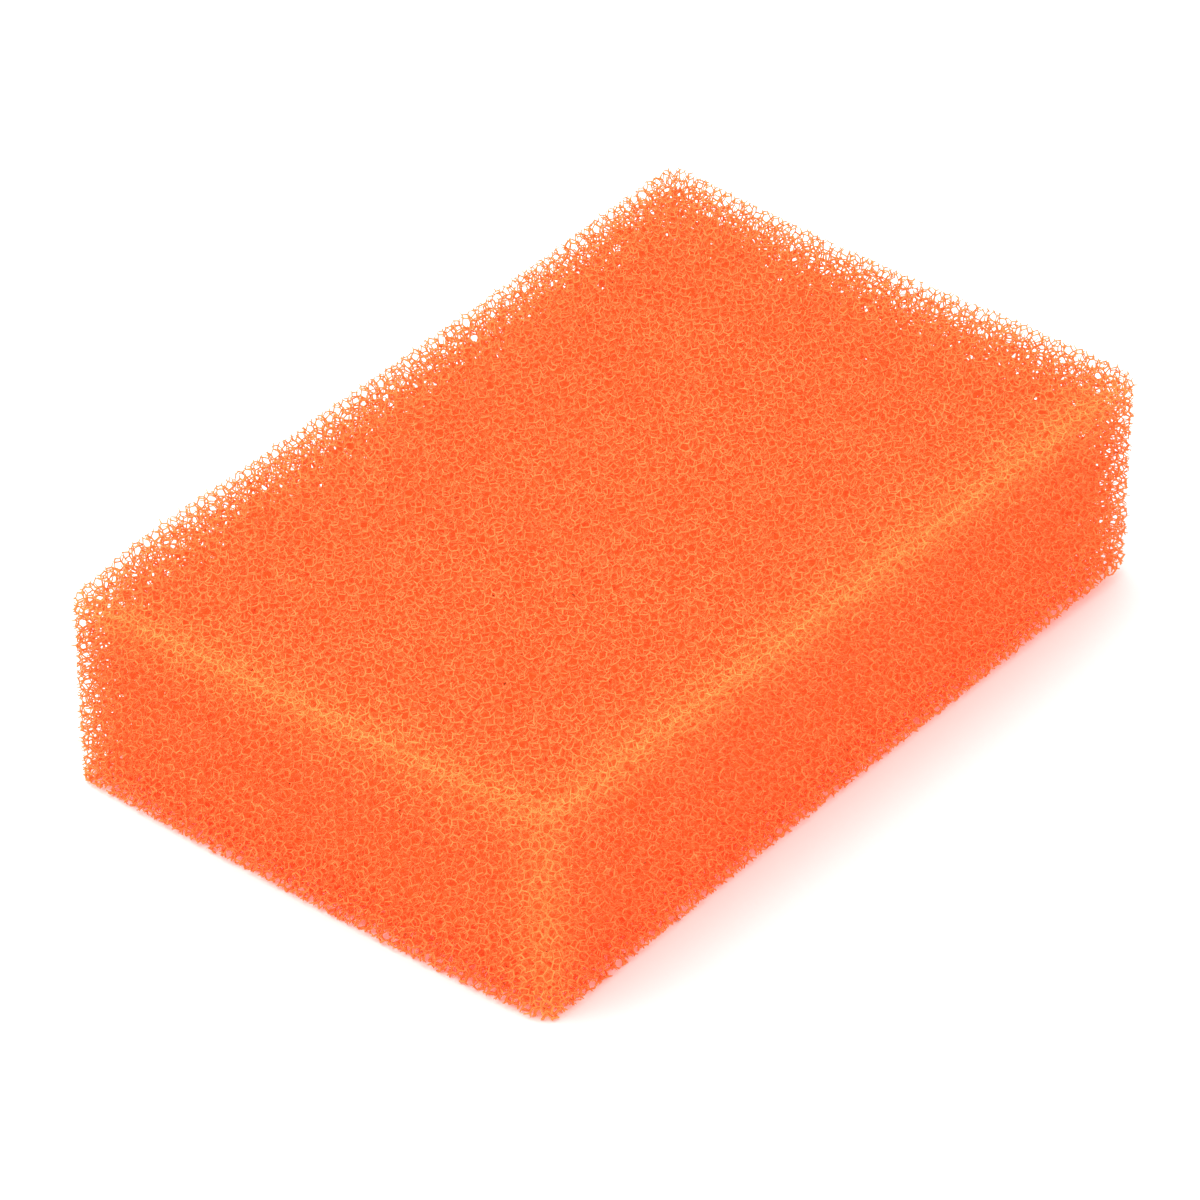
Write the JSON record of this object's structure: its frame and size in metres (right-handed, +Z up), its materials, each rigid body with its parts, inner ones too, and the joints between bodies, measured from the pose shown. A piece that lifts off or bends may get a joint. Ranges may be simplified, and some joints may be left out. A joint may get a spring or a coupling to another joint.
{
  "type": "foam sanding block",
  "caption": "Rectangular hand block of coarse open-cell foam, cut flat on all sides, for rubbing down paint, filler and plaster.",
  "frame": {"origin": "middle of the bottom working face, which the block rests on", "axes": "+X along the length, +Y across the width, +Z up through the thickness"},
  "size_m": [0.125, 0.081, 0.034],
  "materials": {
    "foam": "matte coarse open-cell polyurethane foam, dyed orange through"
  },
  "bodies": {
    "root": {"foam_block": "foam"}
  },
  "joints": []
}
